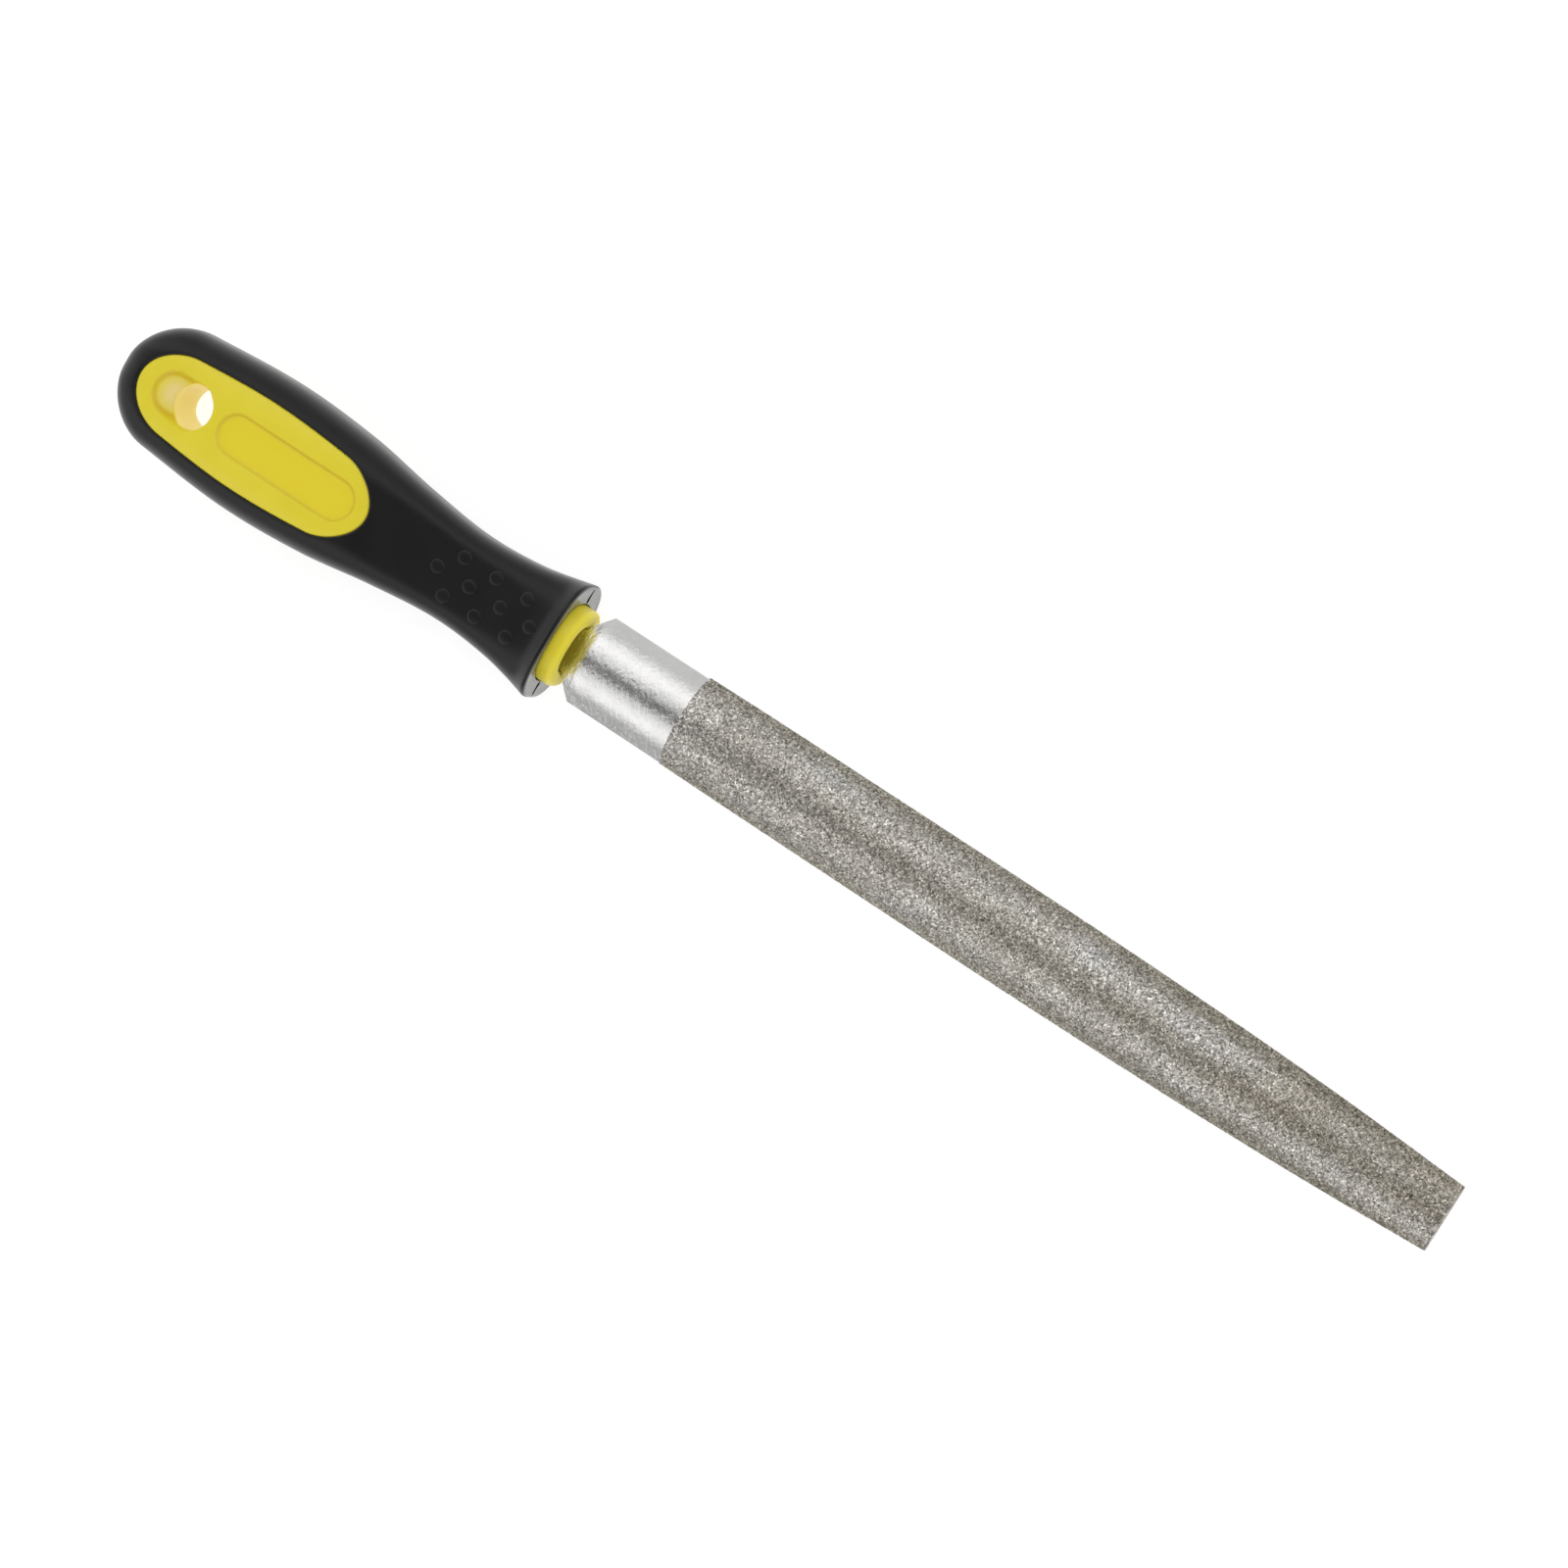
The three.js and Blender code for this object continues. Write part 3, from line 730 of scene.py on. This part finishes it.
def build_coat():
    """The coated length: a shell whose outside and tip are broken up into grains."""
    shell = Shell()
    grains = grain_surface()
    rows = [shell.add(row) for row in grains]
    for i, (a, b) in enumerate(zip(rows, rows[1:])):
        shell.faces += grain_facets(a, b, lambda j: (i * 7 + j * 13) % 5 < 3)
    inner = [shell.add(section_at(x, coat_section(x, COAT_WALL))) for x in (TIP_X - COAT_WALL, 118.0, COAT_X)]
    shell.join(inner + [rows[0]])
    shell.faces.append(tuple(inner[0]))

    # tip face: shrinking rings of grains down to the middle
    centre = grains[-1].mean(axis=0)
    tip = [rows[-1]]
    for share in (0.86, 0.7, 0.5, 0.28):
        loop = centre + (grains[-1] - centre) * share
        loop[:, 0] = TIP_X + (RANDOM.random(len(loop)) - 0.5) * 0.05
        tip.append(shell.add(loop))
    shell.join(tip)
    shell.faces.append(tuple(tip[-1]))
    points, faces = shell.points(), shell.faces
    return make_object("diamond_grains", points, faces, "diamond_coat", "diamond_grit", smooth=False)


# ---- materials ----
def metres(x):
    """A drawing x in millimetres as an object x in metres."""
    return (x + SHIFT[0]) / 1000


class Nodes:
    """A small helper for building a node material."""

    def __init__(self, name):
        self.material = bpy.data.materials.new(name)
        self.material.use_nodes = True
        self.tree = self.material.node_tree
        self.shader = self.tree.nodes["Principled BSDF"]
        self.place = self.tree.nodes.new("ShaderNodeTexCoord").outputs["Object"]

    def node(self, kind, **settings):
        made = self.tree.nodes.new(kind)
        for key, value in settings.items():
            setattr(made, key, value)
        return made

    def feed(self, socket, value):
        """Sets a socket to a number, vector or colour, or links another node's output to it."""
        if isinstance(value, (int, float)):
            socket.default_value = value
        elif isinstance(value, tuple):
            socket.default_value = value if socket.type == "VECTOR" else (*value, 1)
        else:
            self.tree.links.new(value, socket)

    def mapped(self, scale, lean=0.0):
        """Object coordinates, scaled and turned about z by lean degrees."""
        made = self.node("ShaderNodeMapping")
        made.inputs["Scale"].default_value = scale
        made.inputs["Rotation"].default_value = (0, 0, math.radians(lean))
        self.feed(made.inputs["Vector"], self.place)
        return made.outputs["Vector"]

    def noise(self, scale, detail, rough, vector=None, distortion=0.0):
        made = self.node("ShaderNodeTexNoise")
        made.inputs["Scale"].default_value = scale
        made.inputs["Detail"].default_value = detail
        made.inputs["Roughness"].default_value = rough
        made.inputs["Distortion"].default_value = distortion
        self.feed(made.inputs["Vector"], vector or self.place)
        return made.outputs["Fac"]

    def cells(self, scale):
        made = self.node("ShaderNodeTexVoronoi")
        made.inputs["Scale"].default_value = scale
        self.feed(made.inputs["Vector"], self.place)
        return made

    def ramp(self, source, stops):
        made = self.node("ShaderNodeValToRGB")
        marks = made.color_ramp.elements
        while len(marks) < len(stops):
            marks.new(0.5)
        for mark, (at, colour) in zip(marks, stops):
            mark.position = at
            mark.color = (*colour, 1)
        self.feed(made.inputs["Fac"], source)
        return made.outputs["Color"]

    def span(self, source, low, high, out_low, out_high):
        made = self.node("ShaderNodeMapRange")
        for key, value in zip(("From Min", "From Max", "To Min", "To Max"), (low, high, out_low, out_high)):
            made.inputs[key].default_value = value
        self.feed(made.inputs["Value"], source)
        return made.outputs["Result"]

    def mix(self, factor, a, b, blend="MIX"):
        """Mixes two colours. A colour mix uses the node's sockets 0, 6 and 7, and its output 2."""
        made = self.node("ShaderNodeMix", data_type="RGBA", blend_type=blend)
        for key, value in ((0, factor), (6, a), (7, b)):
            self.feed(made.inputs[key], value)
        return made.outputs[2]

    def bump(self, height, strength, distance, under=None):
        made = self.node("ShaderNodeBump")
        made.inputs["Strength"].default_value = strength
        made.inputs["Distance"].default_value = distance
        self.feed(made.inputs["Height"], height)
        if under is not None:
            self.feed(made.inputs["Normal"], under)
        return made.outputs["Normal"]

    def set(self, **values):
        """Sets the shader's sockets, named with underscores for spaces."""
        for key, value in values.items():
            self.feed(self.shader.inputs[key.replace("_", " ")], value)

    def math(self, operation, a, b=0.0):
        made = self.node("ShaderNodeMath", operation=operation)
        self.feed(made.inputs[0], a)
        self.feed(made.inputs[1], b)
        return made.outputs[0]

    def axes(self):
        split = self.node("ShaderNodeSeparateXYZ")
        self.feed(split.inputs[0], self.place)
        return split.outputs

    def edge_share(self):
        """0 on the blade's centreline, 1 on its long edges."""
        x, y, _ = self.axes()
        per_metre = self.span(x, metres(115), metres(TIP_X), 100.0, 139.0)
        return self.math("MULTIPLY", self.math("ABSOLUTE", y), per_metre)

    def from_segment(self, low, high):
        """Distance in plan from the centreline between two x positions in millimetres."""
        x, y, _ = self.axes()
        nearest = self.math("MAXIMUM", self.math("MINIMUM", x, metres(high)), metres(low))
        away = self.math("SUBTRACT", x, nearest)
        squared = self.math("ADD", self.math("MULTIPLY", away, away), self.math("MULTIPLY", y, y))
        return self.math("SQRT", squared)

    def recess_step_shade(self):
        """Painted shade: 1 on the step round the thumb recess, stronger on the +y side."""
        y = self.axes()[1]
        off = self.math("ABSOLUTE", self.math("SUBTRACT", self.from_segment(*RECESS), RECESS_RADIUS / 1000))
        line = self.span(off, 0.0001, 0.0006, 1.0, 0.0)
        return self.math("MULTIPLY", line, self.span(y, -0.003, 0.003, 0.3, 0.75))


def steel_material():
    """Bright steel ground across its width, with fine scratches, deeper ones and shallow dents."""
    m = Nodes("ground_steel")
    scratches = m.noise(1.0, 4, 0.62, m.mapped((5200, 230, 230), lean=5))
    deep = m.noise(1.0, 2, 0.5, m.mapped((1900, 60, 60), lean=-7))
    dents = m.noise(1.0, 3, 0.6, m.mapped((1300, 650, 650), lean=5), distortion=0.5)
    haze = m.noise(170, 3, 0.55)
    m.set(
        Base_Color=m.mix(m.span(haze, 0.3, 0.7, 0, 1), (0.66, 0.655, 0.645), (0.73, 0.725, 0.715)),
        Metallic=1.0,
        Roughness=m.span(scratches, 0.25, 0.75, 0.13, 0.27),
        Normal=m.bump(dents, 0.75, 0.00016, m.bump(deep, 0.35, 0.00008, m.bump(scratches, 0.35, 0.00004))),
    )
    return m.material


def grit_material():
    """Nickel with diamond grains: a tone for each grain and chip, browner towards the tip, darker and browner
    towards the long edges, and painted shade on the +y side near the tip.
    """
    m = Nodes("diamond_grit")
    grain = m.cells(3300)
    chip = m.cells(1900)
    blotch = m.noise(1.0, 4, 0.6, m.mapped((48, 130, 130)), distortion=0.4)
    streak = m.noise(1.0, 3, 0.55, m.mapped((55, 260, 260)))
    fine = m.noise(5200, 2, 0.6)
    x, y, _ = m.axes()
    browner = m.span(x, 0.0, 0.10, 0.3, 1.0)
    tones = [(0.0, (0.415, 0.392, 0.358)), (0.5, (0.46, 0.443, 0.415)), (1.0, (0.495, 0.486, 0.470))]
    tone = m.ramp(m.span(blotch, 0.34, 0.68, 0, 1), tones)
    streaks = m.math("MULTIPLY", m.span(streak, 0.45, 0.72, 0, 0.5), browner)
    middle = m.math("MULTIPLY", m.span(m.edge_share(), 0.05, 0.42, 0.55, 0.0), browner)
    # painted shade: the +y side near the tip is painted darker and browner
    tip = m.math("MULTIPLY", m.span(x, 0.085, 0.150, 0.0, 0.6), m.span(y, -0.003, 0.004, 0.0, 1.0))
    tone = m.mix(streaks, tone, (0.40, 0.365, 0.29))
    tone = m.mix(m.span(m.edge_share(), 0.70, 0.95, 0.0, 0.85), tone, (0.285, 0.265, 0.215))
    tone = m.mix(middle, tone, (0.45, 0.40, 0.315))
    tone = m.mix(tip, tone, (0.275, 0.248, 0.198))
    grain_stops = [
        (0.0, (0.12, 0.12, 0.11)), (0.35, (0.66, 0.65, 0.64)),
        (0.7, (1.1, 1.1, 1.1)), (1.0, (2.2, 2.21, 2.23)),
    ]
    chip_stops = [(0.0, (0.68, 0.67, 0.65)), (0.5, (1.0, 1.0, 1.0)), (1.0, (1.32, 1.32, 1.32))]
    grains = m.ramp(grain.outputs["Color"], grain_stops)
    chips = m.ramp(chip.outputs["Color"], chip_stops)
    m.set(
        Base_Color=m.mix(1.0, m.mix(1.0, tone, grains, "MULTIPLY"), chips, "MULTIPLY"),
        Metallic=0.93,
        Roughness=m.span(grain.outputs["Distance"], 0.0, 0.6, 0.24, 0.40),
        Normal=m.bump(fine, 0.22, 0.00006),
    )
    return m.material


def yellow_material():
    """Satin plastic, slightly translucent, with painted light: paler in the scoop (a painted highlight) and
    in the hole (a painted glow), and painted shade darker at the scoop's rim and along the recess's step.
    """
    m = Nodes("yellow_plastic")
    cloud = m.noise(120, 4, 0.55)
    grain = m.noise(5200, 3, 0.6)
    # painted light: this mask paints the hole's wall paler and gives it a faint glow
    wall = m.span(m.from_segment(HOLE_X, HOLE_X), 0.00462, 0.00485, 1.0, 0.0)
    scoop = m.from_segment(SCOOP_TIP + 4.5, HOLE_X)
    in_recess = m.span(m.from_segment(*RECESS), 0.0038, 0.0044, 1.0, 0.0)
    outside = m.span(scoop, 0.0042, 0.0049, 1.0, 0.0)
    # painted shade: the scoop's rim is painted darker golden
    scoop_rim_shade = m.math("MULTIPLY", m.span(scoop, 0.0033, 0.0040, 0.0, 0.8), outside)
    body = m.mix(m.span(cloud, 0.3, 0.7, 0, 1), (0.755, 0.635, 0.026), (0.785, 0.665, 0.032))
    body = m.mix(in_recess, body, (0.805, 0.655, 0.022))
    # painted shade: a darker golden line along the recess's step
    body = m.mix(m.recess_step_shade(), body, (0.68, 0.50, 0.012))
    body = m.mix(scoop_rim_shade, body, (0.66, 0.46, 0.012))
    # painted highlight: the scoop's floor is painted a paler cream
    body = m.mix(m.span(scoop, 0.0016, 0.0038, 1.0, 0.0), body, (0.84, 0.69, 0.25))
    m.set(
        # painted light on the hole's wall: a paler colour and a faint glow
        Base_Color=m.mix(wall, body, (0.95, 0.83, 0.29)),
        Emission_Color=(1.0, 0.80, 0.34),
        Emission_Strength=m.math("MULTIPLY", wall, 0.05),
        Roughness=m.span(cloud, 0.3, 0.7, 0.34, 0.42),
        Specular_IOR_Level=0.42,
        Subsurface_Weight=0.10,
        Subsurface_Radius=(0.0022, 0.0017, 0.0004),
        Subsurface_Scale=1.0,
        Normal=m.bump(grain, 0.07, 0.00003),
    )
    return m.material


def black_material():
    """Fine matt rubber, glossier on the grip's front face."""
    m = Nodes("black_elastomer")
    cloud = m.noise(140, 4, 0.6)
    grain = m.noise(3600, 3, 0.6)
    soft = m.noise(900, 2, 0.5)
    end_face = m.span(m.axes()[0], metres(-0.22), metres(-0.12), 0.0, 1.0)
    m.set(
        Base_Color=m.mix(m.span(cloud, 0.3, 0.7, 0, 1), (0.0020, 0.0020, 0.0023), (0.0032, 0.0032, 0.0036)),
        Roughness=m.span(cloud, 0.3, 0.7, 0.30, 0.36),
        Specular_IOR_Level=0.24,
        Sheen_Weight=0.2,
        Sheen_Roughness=0.5,
        Coat_Weight=end_face,
        Coat_Roughness=0.14,
        Coat_IOR=1.6,
        Normal=m.bump(soft, 0.05, 0.0001, m.bump(grain, 0.16, 0.00005)),
    )
    return m.material


# ---- surroundings ----
# the light tent: degrees from the zenith towards +Y, and brightness
TENT = [
    (-180, 0.9), (-110, 0.75), (-90, 0.34), (-74, 0.6), (-64, 1.1), (-54, 1.4), (-42, 1.25), (-33, 1.02),
    (-26, 0.92), (-20, 0.60), (-13, 0.12), (-4, 0.16), (3, 0.62), (10, 0.9), (18, 1.15), (30, 1.45),
    (42, 1.3), (52, 0.98), (60, 0.74), (80, 0.74), (110, 0.8), (180, 0.9),
]
TENT_BLUE = 1.004


def studio_world():
    """A soft light tent: brightness by direction across the object, behind a plain white backdrop."""
    world = bpy.data.worlds.new("light_tent")
    bpy.context.scene.world = world
    world.use_nodes = True
    tree = world.node_tree
    new, link = tree.nodes.new, tree.links.new
    place = new("ShaderNodeTexCoord")
    split = new("ShaderNodeSeparateXYZ")
    angle = new("ShaderNodeMath")
    angle.operation = "ARCTAN2"
    turn = new("ShaderNodeMapRange")
    turn.inputs["From Min"].default_value = -math.pi
    turn.inputs["From Max"].default_value = math.pi
    ramp = new("ShaderNodeValToRGB")
    link(place.outputs["Generated"], split.inputs[0])
    link(split.outputs["Y"], angle.inputs[0])
    link(split.outputs["Z"], angle.inputs[1])
    link(angle.outputs[0], turn.inputs["Value"])
    link(turn.outputs[0], ramp.inputs[0])
    marks = ramp.color_ramp.elements
    while len(marks) < len(TENT):
        marks.new(0.5)
    for mark, (degrees, level) in zip(marks, TENT):
        mark.position = degrees / 360 + 0.5
        mark.color = (level, level, level * TENT_BLUE, 1)
    tent = tree.nodes["Background"]
    link(ramp.outputs[0], tent.inputs["Color"])
    # the camera sees plain white: the tent only lights the object
    backdrop = new("ShaderNodeBackground")
    backdrop.inputs["Color"].default_value = (1.0, 1.0, 1.0, 1.0)
    seen = new("ShaderNodeLightPath")
    choose = new("ShaderNodeMixShader")
    link(seen.outputs["Is Camera Ray"], choose.inputs[0])
    link(tent.outputs[0], choose.inputs[1])
    link(backdrop.outputs[0], choose.inputs[2])
    link(choose.outputs[0], tree.nodes["World Output"].inputs["Surface"])


def add_floor():
    """A plain pale floor that touches the grip's rim and the blade's tip."""
    tilt = math.atan2(RIM_HALF + FLAT_Z, TIP_X + RIM_ROUND)
    b = bmesh.new()
    bmesh.ops.create_grid(b, x_segments=24, y_segments=24, size=3.0)
    mesh = bpy.data.meshes.new("floor")
    b.to_mesh(mesh)
    b.free()
    floor = bpy.data.objects.new("floor", mesh)
    bpy.context.scene.collection.objects.link(floor)
    touch = (np.array([-RIM_ROUND, 0.0, -RIM_HALF - 0.05]) + SHIFT) / 1000
    floor.matrix_world = Matrix.Translation(Vector(touch)) @ Matrix.Rotation(-tilt, 4, "Y")
    m = Nodes("pale_floor")
    m.set(
        Base_Color=m.mix(m.noise(6, 2, 0.5), (0.30, 0.30, 0.30), (0.32, 0.32, 0.32)),
        Roughness=0.9,
        Specular_IOR_Level=0.1,
        Emission_Color=(1.0, 1.0, 1.0),
        Emission_Strength=0.82,
    )
    mesh.materials.append(m.material)


def add_camera():
    """The camera at the photograph's viewing angle, about 1.1 m away."""
    theta, phi, roll = math.radians(14), math.radians(8.5), math.radians(33.25)
    distance = 1.1
    focal_share = 3.600625
    back = Vector((math.sin(theta), math.cos(theta) * math.sin(phi), math.cos(theta) * math.cos(phi)))
    along = Vector((math.cos(theta), -math.sin(theta) * math.sin(phi), -math.sin(theta) * math.cos(phi)))
    across = back.cross(along)
    right = along * math.cos(roll) + across * math.sin(roll)
    up = across * math.cos(roll) - along * math.sin(roll)
    target = Vector((53.25 + SHIFT[0], 0.6, SHIFT[2])) / 1000
    data = bpy.data.cameras.new("camera")
    data.sensor_width = 36
    data.lens = data.sensor_width * focal_share
    data.clip_start, data.clip_end = 0.05, 20
    camera = bpy.data.objects.new("camera", data)
    bpy.context.scene.collection.objects.link(camera)
    basis = Matrix((right, up, back)).transposed().to_4x4()
    camera.matrix_world = Matrix.Translation(target + back * distance) @ basis
    bpy.context.scene.camera = camera


bpy.context.scene.view_settings.view_transform = "Standard"
add_camera()
studio_world()
add_floor()

grip = build_grip()
cut_slits(grip)
pieces = (
    (grip, black_material),
    (build_core(), yellow_material),
    (build_blade(), steel_material),
    (build_coat(), grit_material),
)
for obj, make_material in pieces:
    obj.data.materials.clear()
    obj.data.materials.append(make_material())
